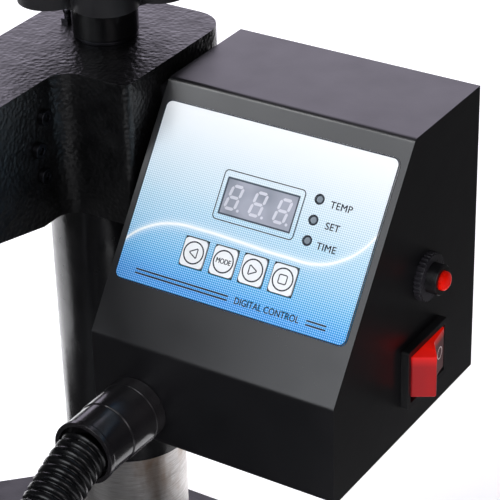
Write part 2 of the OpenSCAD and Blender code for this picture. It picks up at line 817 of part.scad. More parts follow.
// ---- Press head ----
module ram() color("#c0c3c6") row() {
    start = flange_plate_z + flange_plate_t;
    collar_end = ram_collar_z + ram_collar_t;
    translate([head_x, head_y, start]) cylinder(r = ram_r, h = collar_end - start, $fn = fn_round);
    translate([head_x, head_y, ram_collar_z])
        cylinder(r = spring_seat_r - 0.5, h = ram_collar_t, $fn = fn_round);
    translate([head_x, head_y, collar_end - eps])
        cylinder(r = ram_neck_r, h = yoke_z - yoke_half_h - collar_end + eps, $fn = fn_round);
}
module ram_flange() color("#26272a") row() {
    translate([head_x, head_y, flange_plate_z]) difference() {
        linear_extrude(height = flange_plate_t)
            translate([-32, -42]) polygon(rectangle(64, 84, 6));
        for (x = [-24, 24], y = [-34, 34]) {
            translate([x, y, -1]) cylinder(r = 3.1, h = flange_plate_t + 2, $fn = fn_small);
        }
    }
}
module flange_screws() color("#6f7276") row() {
    for (x = [-24, 24], y = [-34, 34]) {
        translate([head_x + x, head_y + y, flange_plate_z + flange_plate_t])
            cap_screw(5, 4, 3, flange_plate_t);
    }
}
module yoke() color("#3a3b3e") row() {
    translate([head_x - yoke_t / 2, 0, 0]) difference() {
        translate([0, head_y - 15, yoke_z - yoke_half_h]) cube([yoke_t, 30, 2 * yoke_half_h]);
        translate([-1, head_y - 9.5, yoke_z - slot_h / 2]) cube([yoke_t + 2, 19, slot_h]);
    }
}
module upper_saddle() color("#2a2b2e") row() {
    difference() {
        union() {
            jaw_band(saddle_r, saddle_out_r, open_z, 10, true);
            translate([head_x - 32, head_y - 42, open_z + 40])
                cube([64, 84, flange_plate_z - open_z - 40]);
            translate([head_x + saddle_r - 4, jaw_y0 + 1, open_z + 10])
                cube([saddle_t + 7, 26, 8]);
        }
        translate([head_x, jaw_y0 - 1, open_z]) along_y()
            cylinder(r = saddle_r, h = jaw_l + 2, $fn = 96);
    }
}
module upper_shell() color("#c3c6c9") row() {
    jaw_band(shell_r, saddle_r, open_z, 5, true);
}
module upper_heater() color("#2b2828") row() {
    jaw_band(pad_r, shell_r, open_z, 7, true);
}
module terminal_cover() color("#1b1b1d") row() {
    wall = 2;
    x0 = inlet_x - cover_w / 2 + 1;
    y0 = inlet_y - cover_l - 4;
    z0 = inlet_z - 16;
    difference() {
        union() {
            translate([x0, y0, z0]) linear_extrude(height = open_z + 10 - z0 - 0.0)
                polygon(rectangle(cover_w, cover_l, 3));
            translate([inlet_x, inlet_y, inlet_z]) rotate([90, 0, 0])
                cylinder(r = 12.5, h = 6, $fn = fn_round);
        }
        translate([x0 + wall, y0 + wall, z0 + wall])
            cube([cover_w - 2 * wall, cover_l - 2 * wall, open_z + 10 - z0 - 2 * wall]);
        translate([inlet_x, inlet_y + 1, inlet_z]) rotate([90, 0, 0])
            cylinder(r = gland_bore_r, h = 10, $fn = fn_round);
    }
}
module return_spring() color("#8f9296") row() {
    sides = 8;
    rings = spring_turns * 16;
    length = ram_collar_z - spring_seat_z - 2 * spring_wire_r - 0.2;
    points = [for (i = [0:rings], k = [0:sides - 1])
        let (
            a = 360 * spring_turns * i / rings,
            b = 360 * k / sides,
            r = spring_r + spring_wire_r * cos(b)
        )
        [r * cos(a), r * sin(a), length * i / rings + spring_wire_r * sin(b)]];
    side_faces = [for (i = [0:rings - 1], k = [0:sides - 1])
        [i * sides + k, i * sides + (k + 1) % sides,
            (i + 1) * sides + (k + 1) % sides, (i + 1) * sides + k]];
    end_faces = [[for (k = [sides - 1:-1:0]) k], [for (k = [0:sides - 1]) rings * sides + k]];
    translate([head_x, head_y, spring_seat_z + spring_wire_r + 0.1])
        polyhedron(points, concat(side_faces, end_faces), convexity = 10);
}

// ---- Lever ----
module lever_shaft() color("#9fa2a6") row() {
    end_out = head_half_w + bar_gap + bar_t + 10;
    web_in = yoke_t / 2 + web_gap;
    for (side = [-1, 1]) {
        translate([head_x, shaft_y, shaft_z]) mirror([side < 0 ? 1 : 0, 0, 0]) {
            translate([web_in, 0, 0]) along_x() cylinder(r = shaft_r, h = end_out - web_in, $fn = fn_round);
            translate([web_in, 0, 0]) rotate([-45, 0, 0]) difference() {
                union() {
                    along_x() cylinder(r = 9.5, h = web_t, $fn = fn_round);
                    translate([0, -crank_r, -8]) cube([web_t, crank_r, 16]);
                    translate([0, -crank_r, 0]) along_x() cylinder(r = 8, h = web_t, $fn = fn_round);
                }
                translate([-1, -crank_r, 0]) along_x() cylinder(r = pin_r, h = web_t + 2, $fn = fn_round);
            }
        }
    }
}
module crank_pin() color("#c7cacd") row() {
    pin_half = yoke_t / 2 + web_gap + web_t;
    translate([head_x - pin_half, shaft_y - crank_r * cos(45), shaft_z + crank_r * sin(45)])
        along_x() cylinder(r = pin_r, h = 2 * pin_half, $fn = fn_round);
}
module lever_handle() color("#8f9397") row() {
    bar_in = head_half_w + bar_gap;
    translate([head_x, shaft_y, shaft_z]) {
        for (side = [0, 1]) {
            mirror([side, 0, 0]) difference() {
                union() {
                    translate([bar_in, 0, 0]) along_x() cylinder(r = hub_r, h = bar_t, $fn = fn_round);
                    translate([bar_in, -bar_w / 2, 0]) cube([bar_t, bar_w, lever_l]);
                    translate([bar_in, 0, lever_l]) along_x()
                        cylinder(r = bar_w / 2, h = bar_t, $fn = fn_round);
                }
                translate([bar_in - 1, 0, 0]) along_x()
                    cylinder(r = shaft_r, h = bar_t + 2, $fn = fn_round);
                translate([bar_in - 1, 0, lever_l]) along_x()
                    cylinder(r = 6, h = bar_t + 2, $fn = fn_round);
            }
        }
        translate([-bar_in - bar_t, 0, lever_l]) along_x()
            cylinder(r = 6, h = 2 * (bar_in + bar_t), $fn = fn_round);
    }
}
module lever_grip() color("#161616") row() {
    translate([head_x - grip_half, shaft_y, shaft_z + lever_l]) along_x() difference() {
        cylinder(r = grip_r, h = 2 * grip_half, $fn = fn_round);
        translate([0, 0, -1]) cylinder(r = 6, h = 2 * grip_half + 2, $fn = fn_round);
    }
}
module lever_nuts() color("#b5b8bb") row() {
    start = head_half_w + bar_gap + bar_t;
    for (side = [0, 1]) {
        translate([head_x, shaft_y, shaft_z]) mirror([side, 0, 0]) translate([start, 0, 0]) along_x()
            difference() {
                union() {
                    cylinder(r = 11.5, h = 10, $fn = 6);
                    translate([0, 0, 10 - eps]) cylinder(r = 9, h = 3, $fn = fn_small);
                }
                translate([0, 0, -1]) cylinder(r = shaft_r, h = 11, $fn = fn_round);
            }
    }
}

// ---- Buttons ----
module key_cap(i) {
    on_slope(key_columns[i] - key_w / 2, key_row - key_l / 2, -1)
        linear_extrude(height = 1 + overlay_t + key_rise) polygon(rectangle(key_w, key_l, 1.6));
}
module key_left() color("#eef4f6") row() key_cap(0);
module key_mode() color("#eef4f6") row() key_cap(1);
module key_right() color("#eef4f6") row() key_cap(2);
module key_stop() color("#eef4f6") row() key_cap(3);
module reset_button() color("#d8281e") row() {
    length = reset_out - breaker_stub_out + 5;
    on_right(breaker_y, breaker_z) translate([0, 0, reset_out - length]) {
        cylinder(r = reset_r, h = length - 0.8, $fn = fn_round);
        translate([0, 0, length - 0.8 - eps])
            cylinder(r1 = reset_r, r2 = reset_r - 0.8, h = 0.8 + eps, $fn = fn_round);
    }
}
module rocker() color("#e3161b") row() {
    translate([box_right, rocker_y, rocker_z - pivot_half])
        cylinder(r = pivot_r, h = 2 * pivot_half, $fn = fn_small);
    translate([box_right, rocker_y, rocker_z + paddle_up - paddle_h / 2])
        linear_extrude(height = paddle_h)
            polygon(rounded([[-6, -9.5], [0, -12.9], [3.4, -12.7], [paddle_tip, -8], [5.2, 1.2],
                [3.6, 12.4], [0, 12.9], [-6, 9.5]], [0, 0, 0, 0.8, 0, 0.5, 0, 0]));
}

// ---- Hose ----
function route_step(i) =
    let (n = len(hose_route) - 1)
    unit(hose_route[min(i + 1, n)] - hose_route[max(i - 1, 0)]);
module hose() color("#121213") row() {
    rings = len(hose_route);
    points = [for (i = [0:rings - 1], k = [0:hose_sides - 1])
        let (
            t = route_step(i),
            side = unit(cross(t, [0, 0, 1])),
            up = cross(side, t),
            a = 360 * k / hose_sides
        )
        hose_route[i] + hose_d / 2 * (side * cos(a) + up * sin(a))];
    side_faces = [for (i = [0:rings - 2], k = [0:hose_sides - 1])
        [i * hose_sides + k, (i + 1) * hose_sides + k,
            (i + 1) * hose_sides + (k + 1) % hose_sides, i * hose_sides + (k + 1) % hose_sides]];
    end_faces = [[for (k = [0:hose_sides - 1]) k],
        [for (k = [hose_sides - 1:-1:0]) (rings - 1) * hose_sides + k]];
    polyhedron(points, concat(side_faces, end_faces), convexity = 6);
}

base_plate();
feet();
foot_bolts();
post_flange();
flange_bolts();
post();
post_nut();
pedestal();
pedestal_bolts();
lower_saddle();
lower_shell();
lower_pad();
thrust_bush();
sleeve();
arm_casting();
side_screws();
grease_nipple();
box_bracket();
box_shell();
box_cover();
cover_screws();
overlay();
display_window();
display_module();
indicator_lights();
control_board();
transformer();
relay();
mains_inlet();
breaker_body();
breaker_nut();
rocker_bezel();
gland_body();
gland_nut();
gland_locknut();
knob();
knob_collar();
spindle();
knob_cap();
ram();
ram_flange();
flange_screws();
yoke();
upper_saddle();
upper_shell();
upper_heater();
terminal_cover();
return_spring();
lever_shaft();
crank_pin();
lever_handle();
lever_grip();
lever_nuts();
key_left();
key_mode();
key_right();
key_stop();
reset_button();
rocker();
hose();
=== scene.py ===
import math

import bmesh
import bpy
from mathutils import Matrix, Quaternion, Vector


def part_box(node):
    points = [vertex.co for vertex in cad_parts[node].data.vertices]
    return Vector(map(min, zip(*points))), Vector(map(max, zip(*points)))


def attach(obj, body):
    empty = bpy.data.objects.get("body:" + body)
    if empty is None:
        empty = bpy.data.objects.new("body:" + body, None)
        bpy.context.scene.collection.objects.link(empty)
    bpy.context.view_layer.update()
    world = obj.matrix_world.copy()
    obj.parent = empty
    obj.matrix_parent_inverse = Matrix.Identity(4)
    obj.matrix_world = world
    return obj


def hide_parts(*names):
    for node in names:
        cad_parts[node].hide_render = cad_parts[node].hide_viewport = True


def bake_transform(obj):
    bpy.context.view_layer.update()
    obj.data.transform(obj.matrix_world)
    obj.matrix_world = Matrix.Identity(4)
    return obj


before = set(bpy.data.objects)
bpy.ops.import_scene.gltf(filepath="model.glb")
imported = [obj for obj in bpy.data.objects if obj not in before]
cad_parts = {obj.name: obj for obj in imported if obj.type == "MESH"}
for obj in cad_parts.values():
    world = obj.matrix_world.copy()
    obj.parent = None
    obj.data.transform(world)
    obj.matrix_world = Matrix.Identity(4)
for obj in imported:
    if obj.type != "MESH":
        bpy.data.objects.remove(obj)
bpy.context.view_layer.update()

MM = 0.001

# Places read from the frame, and the box's slope as the CAD has it
BOX_LOW, BOX_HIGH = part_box("box_shell")
POST_LOW, POST_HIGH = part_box("post")
COLUMN = (POST_LOW + POST_HIGH) / 2
KNEE = 41.8 * MM
SLANT_RUN = 58.5 * MM
SLOPE = math.atan2(BOX_HIGH.z - BOX_LOW.z - KNEE, SLANT_RUN)
PANEL_ORIGIN = BOX_LOW + Vector((0, 0, KNEE))
PANEL = Matrix.Translation(PANEL_ORIGIN) @ Matrix.Rotation(SLOPE, 4, "X")

BEZEL_LOW, BEZEL_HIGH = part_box("rocker_bezel")
PADDLE_PROFILE = [  # out of the panel, along it; the valley between the halves is at (5.2, 1.2)
    (0.4, -12.7), (3.4, -12.5), (10.8, -8.0), (10.9, -7.3), (5.2, 1.2), (3.6, 12.2), (0.4, 12.7)]
PADDLE_VALLEY, PADDLE_REAR = Vector(PADDLE_PROFILE[4]), Vector(PADDLE_PROFILE[5])
PADDLE_HALF = 8.85
PADDLE_RAISED = 0.8
PADDLE_EDGE = 0.55
PADDLE = Matrix.Translation((BOX_HIGH.x, (BEZEL_LOW.y + BEZEL_HIGH.y) / 2,
                             (BEZEL_LOW.z + BEZEL_HIGH.z) / 2 + PADDLE_RAISED * MM))
NUT_LOW, NUT_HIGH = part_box("breaker_nut")

# Heights above the box's sloping face and thickness of the print, in mm
OVERLAY_TOP = 0.5
KEY_TOP = 1.0
WINDOW_TOP = 0.4
INK = 0.04


def srgb(red, green, blue):
    """Linear colour of 0..255 display values."""
    def channel(value):
        share = value / 255
        return share / 12.92 if share <= 0.04045 else ((share + 0.055) / 1.055) ** 2.4
    return (channel(red), channel(green), channel(blue), 1.0)


# ---- Camera ----
CAMERA_AZIMUTH = 32.94
CAMERA_ELEVATION = 29.99
CAMERA_ROLL = 1.56
CAMERA_OFFSET = Vector((0.4188, -0.5354, 0.4659))
CAMERA_LENS = 153.2


def make_camera():
    data = bpy.data.cameras.new("camera")
    data.lens = CAMERA_LENS
    data.sensor_width = 36
    data.clip_start = 0.01
    camera = bpy.data.objects.new("camera", data)
    bpy.context.scene.collection.objects.link(camera)
    azimuth, elevation = math.radians(CAMERA_AZIMUTH), math.radians(CAMERA_ELEVATION)
    forward = Vector((-math.sin(azimuth) * math.cos(elevation),
                      math.cos(azimuth) * math.cos(elevation), -math.sin(elevation)))
    camera.rotation_mode = "QUATERNION"
    camera.rotation_quaternion = (forward.to_track_quat("-Z", "Y")
                                  @ Quaternion((0, 0, 1), -math.radians(CAMERA_ROLL)))
    camera.location = BOX_LOW + CAMERA_OFFSET
    bpy.context.scene.camera = camera


make_camera()
bpy.context.scene.view_settings.view_transform = "Standard"


# ---- Material helpers ----
class Nodes:
    """A material's node tree with short calls."""

    def __init__(self, name, **inputs):
        self.material = bpy.data.materials.new(name)
        self.material.use_nodes = True
        self.tree = self.material.node_tree
        self.shader = self.tree.nodes["Principled BSDF"]
        for socket, value in inputs.items():
            self.shader.inputs[socket.replace("_", " ")].default_value = value
        self.coordinates = self.add("ShaderNodeTexCoord").outputs["Object"]

    def add(self, kind, links=None, **settings):
        node = self.tree.nodes.new(kind)
        for key, value in settings.items():
            setattr(node, key, value)
        for socket, value in (links or {}).items():
            if isinstance(value, bpy.types.NodeSocket):
                self.tree.links.new(value, node.inputs[socket])
            else:
                node.inputs[socket].default_value = value
        return node

    def link(self, output, socket):
        self.tree.links.new(output, self.shader.inputs[socket])

    def stretch(self, scale):
        return self.add("ShaderNodeMapping", {"Vector": self.coordinates, "Scale": scale}).outputs[0]

    def noise(self, scale, detail=3.0, roughness=0.55, vector=None):
        return self.add("ShaderNodeTexNoise", {
            "Vector": vector or self.coordinates, "Scale": scale, "Detail": detail,
            "Roughness": roughness}).outputs["Fac"]

    def ramp(self, factor, stops):
        node = self.add("ShaderNodeValToRGB", {0: factor})
        elements = node.color_ramp.elements
        while len(elements) < len(stops):
            elements.new(0.5)
        for element, (place, colour) in zip(elements, stops):
            element.position = place
            element.color = colour
        return node.outputs["Color"]

    def spread(self, factor, low, high, start=0.3, end=0.7):
        return self.add("ShaderNodeMapRange", {
            "Value": factor, "From Min": start, "From Max": end, "To Min": low,
            "To Max": high}).outputs["Result"]

    def maths(self, operation, first, second=0.0, third=0.0, clamp=False):
        node = self.add("ShaderNodeMath", {0: first, 1: second, 2: third}, operation=operation)
        node.use_clamp = clamp
        return node.outputs[0]

    def mix(self, factor, first, second):
        return self.add("ShaderNodeMix", {0: factor, 6: first, 7: second},
                        data_type="RGBA").outputs[2]

    def bump(self, height, distance, strength=1.0, normal=None):
        links = {"Height": height, "Distance": distance, "Strength": strength}
        if normal is not None:
            links["Normal"] = normal
        return self.add("ShaderNodeBump", links).outputs[0]


def tinted(n, light, dark, scale, detail=3.0):
    """Colour that wanders between two tones."""
    n.link(n.ramp(n.noise(scale, detail), [(0.35, dark), (0.65, light)]), "Base Color")


def satin(name, light, dark, rough, grain=900, depth=0.02, cloud=35, spread=0.06, **inputs):
    """Painted or moulded surface: faint cloudiness, fine grain, slightly uneven gloss."""
    n = Nodes(name, **inputs)
    tinted(n, light, dark, cloud)
    n.link(n.spread(n.noise(cloud * 3), rough - spread, rough + spread), "Roughness")
    n.link(n.bump(n.noise(grain, 4.0), depth * MM), "Normal")
    return n.material


def hammered(name, light, dark):
    """Thick hammer-finish paint over rough cast iron: soft cells a few millimetres across."""
    n = Nodes(name, Specular_IOR_Level=0.45)
    tinted(n, light, dark, 60)
    n.link(n.spread(n.noise(120), 0.28, 0.44), "Roughness")
    cells = n.add("ShaderNodeTexVoronoi", {"Vector": n.coordinates, "Scale": 560.0, "Smoothness": 0.6},
                  feature="SMOOTH_F1").outputs["Distance"]
    coarse = n.bump(n.noise(260, 4.0, 0.6), 0.3 * MM, 0.7)
    n.link(n.bump(cells, 0.4 * MM, 0.6, coarse), "Normal")
    return n.material


def metal(name, light, dark, rough, brush=(1, 1, 14), scale=160, depth=0.02, stain=None):
    """Machined or brushed metal: fine lines across, faint stains and uneven roughness."""
    n = Nodes(name, Metallic=1.0)
    lines = n.noise(scale, 6.0, 0.7, n.stretch(brush))
    colour = n.ramp(lines, [(0.3, dark), (0.7, light)])
    if stain is not None:
        patches = n.noise(45, 4.0, 0.6, n.stretch((1, 1, 0.5)))
        colour = n.mix(n.spread(patches, 0.0, 0.85, 0.5, 0.68), colour, stain)
    n.link(colour, "Base Color")
    n.link(n.spread(n.noise(70, 3.0), rough - 0.07, rough + 0.09), "Roughness")
    n.link(n.bump(lines, depth * MM), "Normal")
    return n.material


BLACK = srgb(22, 22, 24)
DEEP = srgb(12, 12, 14)

# The overlay's print: its brightness, then its sizes in mm on the box's sloping face
OVERLAY_TONE = 0.91
WAVE_ACROSS, WAVE_UP = 105.0, 100.0
FADE_START, FADE_SPAN = 18.0, 76.0
DOT_PITCH = 1.15


def overlay_material():
    """Printed polyester: white at the top through light cyan to blue, with a finer, bluer field
    below a glowing wave, and the print's halftone dots."""
    n = Nodes("overlay_film", Roughness=0.55, Specular_IOR_Level=0.16)
    corner = Matrix.Rotation(-SLOPE, 4, "X") @ (PANEL_ORIGIN / MM)
    place = n.add("ShaderNodeMapping", {"Vector": n.coordinates, "Scale": (1 / MM,) * 3,
                                        "Rotation": (-SLOPE, 0, 0), "Location": -corner}).outputs[0]
    axes = n.add("ShaderNodeSeparateXYZ", {0: place})
    across, up = axes.outputs[0], axes.outputs[1]
    share = n.maths("DIVIDE", across, WAVE_ACROSS)
    wave = n.add("ShaderNodeFloatCurve", {"Value": share})
    curve = wave.mapping.curves[0]
    points = [(0.0, 0.33), (0.0286, 0.376), (0.106, 0.441), (0.19, 0.473), (0.33, 0.482), (0.47, 0.478),
              (0.65, 0.473), (0.794, 0.481), (0.878, 0.522), (0.93, 0.57), (0.967, 0.628), (1.0, 0.69)]
    curve.points[0].location, curve.points[1].location = points[0], points[-1]
    for point in points[1:-1]:
        curve.points.new(*point)
    wave.mapping.update()
    above = n.maths("SUBTRACT", up, n.maths("MULTIPLY", wave.outputs[0], WAVE_UP))
    below = n.maths("LESS_THAN", above, 0.0)
    tilt = n.maths("MULTIPLY_ADD", n.maths("SUBTRACT", across, 60.0), 0.055, up)
    height = n.maths("MULTIPLY_ADD", below, -2.2, tilt)
    share_up = n.maths("DIVIDE", n.maths("SUBTRACT", height, FADE_START), FADE_SPAN)
    tones = [(22, (58, 160, 238)), (26, (84, 176, 243)), (30, (112, 190, 243)), (35, (138, 202, 243)),
             (41, (162, 212, 243)), (48, (180, 220, 244)), (54, (192, 226, 245)), (60, (208, 232, 246)),
             (67, (220, 238, 248)), (74, (231, 243, 250)), (82, (243, 249, 252)), (92, (252, 254, 255))]
    gradient = n.ramp(share_up, [((v - FADE_START) / FADE_SPAN, srgb(*tone)) for v, tone in tones])
    dot = 2 * math.pi / DOT_PITCH
    rows = n.maths("SINE", n.maths("MULTIPLY", n.maths("ADD", across, up), dot * 0.7071))
    columns = n.maths("SINE", n.maths("MULTIPLY", n.maths("SUBTRACT", across, up), dot * 0.7071))
    dots = n.maths("MULTIPLY", rows, columns)
    amount = n.add("ShaderNodeMapRange", {"Value": up, "From Min": 84.0, "From Max": 60.0,
                                          "To Min": 0.0, "To Max": 0.5}).outputs[0]
    ink = n.maths("MULTIPLY", dots, amount)
    shade = n.add("ShaderNodeHueSaturation", {
        "Saturation": n.maths("ADD", 1.0, ink), "Value": n.maths("MULTIPLY_ADD", ink, -0.5, OVERLAY_TONE),
        "Color": gradient}).outputs[0]
    core = n.maths("POWER", 2.718, n.maths("MULTIPLY", n.maths("POWER", n.maths(
        "DIVIDE", above, 0.62), 2.0), -1.0))
    halo = n.maths("POWER", 2.718, n.maths("MULTIPLY", n.maths("POWER", n.maths(
        "DIVIDE", above, 1.9), 2.0), -1.0))
    glow = n.maths("MULTIPLY_ADD", halo, 0.35, n.maths("MULTIPLY", core, 0.7), clamp=True)
    n.link(n.mix(glow, shade, srgb(250, 254, 255)), "Base Color")
    n.link(n.bump(n.noise(1400, 2.0), 0.01 * MM), "Normal")
    return n.material


def window_material():
    """Smoked window over the digits."""
    n = Nodes("window_film", Roughness=0.25, Specular_IOR_Level=0.3)
    tinted(n, srgb(160, 163, 176), srgb(124, 131, 142), 70, 1.0)
    return n.material


def circuit_material():
    n = Nodes("circuit_board", Roughness=0.4)
    lines = n.noise(220, 0.0, 0.5)
    lacquer, track = srgb(24, 84, 44), srgb(66, 132, 70)
    n.link(n.ramp(lines, [(0.42, lacquer), (0.5, track), (0.56, lacquer)]), "Base Color")
    n.link(n.bump(lines, 0.05 * MM), "Normal")
    return n.material


def paddle_shade_and_glow_material():
    """Translucent red paddle: painted shade darkens the half that sinks in, and a painted glow (emission)
    brightens it towards its upper end.
    """
    n = Nodes("red_plastic", Roughness=0.38, Specular_IOR_Level=0.14, Emission_Color=srgb(255, 26, 8))
    axes = n.add("ShaderNodeSeparateXYZ", {0: n.add("ShaderNodeMapping", {
        "Vector": n.coordinates, "Scale": (1 / MM,) * 3, "Location": -PADDLE.translation / MM}).outputs[0]})
    along, up = axes.outputs[1], axes.outputs[2]
    # Mottle plus distance along the paddle; the ramp below turns that distance into painted shade,
    # darkening the rear half.
    mottle_and_shade = n.maths("MULTIPLY_ADD", n.noise(260, 3.0), 3.0, along)
    n.link(n.ramp(n.spread(mottle_and_shade, 0.0, 1.0, -9.0, 9.0),
                  [(0.0, srgb(176, 34, 38)), (0.35, srgb(196, 30, 30)), (0.62, srgb(92, 12, 14)),
                   (1.0, srgb(74, 10, 12))]), "Base Color")
    # Emission rising towards the paddle's upper end, in the red emission colour set above: a painted glow.
    n.link(n.spread(up, 0.0, 0.45, 4.5, 9.2), "Emission Strength")
    n.link(n.bump(n.noise(500, 3.0), 0.01 * MM), "Normal")
    return n.material


MATERIALS = {
    "black_plate": satin("black_plate", BLACK, DEEP, 0.42, 700, 0.05),
    "foot_rubber": satin("foot_rubber", srgb(26, 26, 27), srgb(16, 16, 17), 0.75, 600, 0.08),
    "bolt_steel": metal("bolt_steel", srgb(170, 172, 176), srgb(120, 121, 124), 0.34),
    "black_bolt": metal("black_bolt", srgb(70, 70, 75), srgb(38, 38, 42), 0.36),
    "greased_steel": metal("greased_steel", srgb(240, 238, 237), srgb(180, 174, 168), 0.42,
                           (1, 1, 26), 120, 0.1, srgb(150, 118, 88)),
    "bronze": metal("bronze", srgb(214, 178, 116), srgb(156, 120, 70), 0.35),
    "hammer_paint": hammered("hammer_paint", srgb(13, 13, 14), srgb(6, 6, 7)),
    "stainless": metal("stainless", srgb(220, 222, 226), srgb(170, 172, 176), 0.22, (14, 1, 14)),
    "silicone": satin("silicone", srgb(44, 41, 41), srgb(32, 30, 30), 0.6, 500, 0.05),
    "sleeve_paint": satin("sleeve_paint", srgb(18, 18, 20), srgb(9, 9, 11), 0.22, 330, 0.07),
    "nipple_chrome": metal("nipple_chrome", srgb(86, 84, 90), srgb(52, 51, 56), 0.3),
    "box_paint": satin("box_paint", srgb(14, 13, 16), srgb(9, 9, 12), 0.36, 1100, 0.014, 25, 0.03,
                       Specular_IOR_Level=0.62),
    "overlay_film": overlay_material(),
    "window_film": window_material(),
    "module_plastic": satin("module_plastic", srgb(66, 70, 76), srgb(48, 52, 57), 0.5),
    "light_lens": satin("light_lens", srgb(126, 138, 148), srgb(104, 116, 126), 0.25, 400, 0.01),
    "circuit_board": circuit_material(),
    "transformer_lacquer": satin("transformer_lacquer", srgb(190, 146, 66), srgb(150, 108, 44), 0.35,
                                 300, 0.05),
    "relay_plastic": satin("relay_plastic", srgb(226, 226, 222), srgb(206, 206, 200), 0.45),
    "black_nylon": satin("black_nylon", srgb(26, 26, 28), srgb(15, 15, 17), 0.38, 700, 0.03),
    "red_plastic": paddle_shade_and_glow_material(),
    "gland_plastic": satin("gland_plastic", srgb(38, 36, 38), srgb(27, 26, 28), 0.19, 500, 0.02),
    "knob_plastic": satin("knob_plastic", srgb(20, 19, 22), srgb(12, 12, 14), 0.5, 500, 0.06),
    "forged_steel": metal("forged_steel", srgb(96, 97, 101), srgb(58, 59, 62), 0.48, (3, 3, 3), 90, 0.06),
    "spring_steel": metal("spring_steel", srgb(180, 182, 186), srgb(124, 125, 128), 0.3),
    "lever_zinc": metal("lever_zinc", srgb(190, 192, 196), srgb(150, 152, 155), 0.34, (3, 3, 12)),
    "grip_rubber": satin("grip_rubber", srgb(24, 24, 25), srgb(14, 14, 15), 0.62, 900, 0.06),
    "key_film": satin("key_film", srgb(248, 249, 250), srgb(238, 241, 243), 0.45, 800, 0.01,
                      Specular_IOR_Level=0.2),
    # The reset button's faint red emission is a painted glow.
    "reset_red": satin("reset_red", srgb(232, 16, 4), srgb(214, 10, 3), 0.4, 500, 0.01,
                       Specular_IOR_Level=0.06, Emission_Color=srgb(255, 40, 8), Emission_Strength=0.1),
    "hose_plastic": satin("hose_plastic", srgb(15, 15, 17), srgb(8, 8, 10), 0.27, 500, 0.015),
}
# A lighter copy of the black nylon for the knurled breaker nut: painted sheen standing in for the
# highlights on its ridges.
KNURL_PAINTED_SHEEN = satin("knurl_painted_sheen", srgb(50, 48, 54), srgb(34, 33, 37), 0.3, 600, 0.03)
INK_DARK = satin("ink_dark", srgb(34, 40, 52), srgb(26, 31, 42), 0.5, 900, 0.005, Specular_IOR_Level=0.2)
INK_LINE = satin("ink_line", srgb(36, 42, 54), srgb(28, 33, 44), 0.5, 900, 0.005, Specular_IOR_Level=0.2)
DIGIT_WHITE = satin("digit_white", srgb(214, 214, 224), srgb(196, 198, 208), 0.5, 900, 0.005,
                    Specular_IOR_Level=0.2)
WINDOW_EDGE = satin("window_edge", srgb(70, 80, 92), srgb(56, 66, 78), 0.5, 900, 0.005,
                    Specular_IOR_Level=0.2)
# Pale pink line along the paddle's ridge: a painted highlight.
PAINTED_RIDGE_HIGHLIGHT = satin("painted_ridge_highlight", srgb(236, 150, 156), srgb(214, 120, 128), 0.4, 900, 0.005)
MARK_WHITE = satin("mark_white", srgb(240, 220, 220), srgb(222, 196, 196), 0.5, 900, 0.005)

# ---- CAD nodes: finish, rounded edges and smooth shading ----
EDGE = {  # radius of the rounded edges in mm, for nodes that keep their CAD mesh
    "arm_casting": 1.6, "base_plate": 1.0, "post_flange": 1.2, "pedestal": 1.5, "lower_saddle": 1.2,
    "upper_saddle": 1.2, "ram_flange": 0.8, "box_shell": 0.5, "box_cover": 0.3, "box_bracket": 0.8,
    "knob": 1.8, "knob_collar": 0.8, "knob_cap": 0.6, "sleeve": 0.6, "yoke": 1.2, "lever_handle": 1.0,
    "lever_grip": 1.6, "lever_nuts": 0.6, "lever_shaft": 0.5, "terminal_cover": 1.2, "gland_body": 0.5,
    "gland_nut": 0.25, "gland_locknut": 0.5, "breaker_nut": 0.25, "breaker_body": 0.4,
    "rocker_bezel": 0.7, "reset_button": 1.9, "feet": 1.0, "flange_bolts": 0.4,
    "foot_bolts": 0.3, "pedestal_bolts": 0.3, "flange_screws": 0.3, "side_screws": 0.3,
    "cover_screws": 0.15, "post_nut": 0.5, "thrust_bush": 0.3, "ram": 0.6, "post": 0.5,
    "lower_shell": 0.3, "upper_shell": 0.3, "lower_pad": 0.6, "upper_heater": 0.6,
    "key_left": 0.18, "key_mode": 0.18, "key_right": 0.18, "key_stop": 0.18, "relay": 0.4,
    "transformer": 0.4, "mains_inlet": 0.5, "display_window": 0.1, "display_module": 0.2,
    "control_board": 0.1,
}
SHARP_ANGLE = math.radians(28)
BEVEL_STEPS = 3


def smooth_group():
    """Geometry nodes: shade every face smooth and keep the edges over SHARP_ANGLE sharp."""
    group = bpy.data.node_groups.new("smooth_by_angle", "GeometryNodeTree")
    group.interface.new_socket("Geometry", in_out="INPUT", socket_type="NodeSocketGeometry")
    group.interface.new_socket("Geometry", in_out="OUTPUT", socket_type="NodeSocketGeometry")
    nodes = group.nodes
    start, end = nodes.new("NodeGroupInput"), nodes.new("NodeGroupOutput")
    faces, edges = nodes.new("GeometryNodeSetShadeSmooth"), nodes.new("GeometryNodeSetShadeSmooth")
    angle, over = nodes.new("GeometryNodeInputMeshEdgeAngle"), nodes.new("FunctionNodeCompare")
    edges.domain = "EDGE"
    edges.inputs["Shade Smooth"].default_value = False
    over.operation = "GREATER_THAN"
    over.inputs["B"].default_value = SHARP_ANGLE
    link = group.links.new
    link(start.outputs[0], faces.inputs["Geometry"])
    link(faces.outputs[0], edges.inputs["Geometry"])
    link(angle.outputs["Unsigned Angle"], over.inputs["A"])
    link(over.outputs[0], edges.inputs["Selection"])
    link(edges.outputs[0], end.inputs[0])
    return group


SMOOTH = smooth_group()


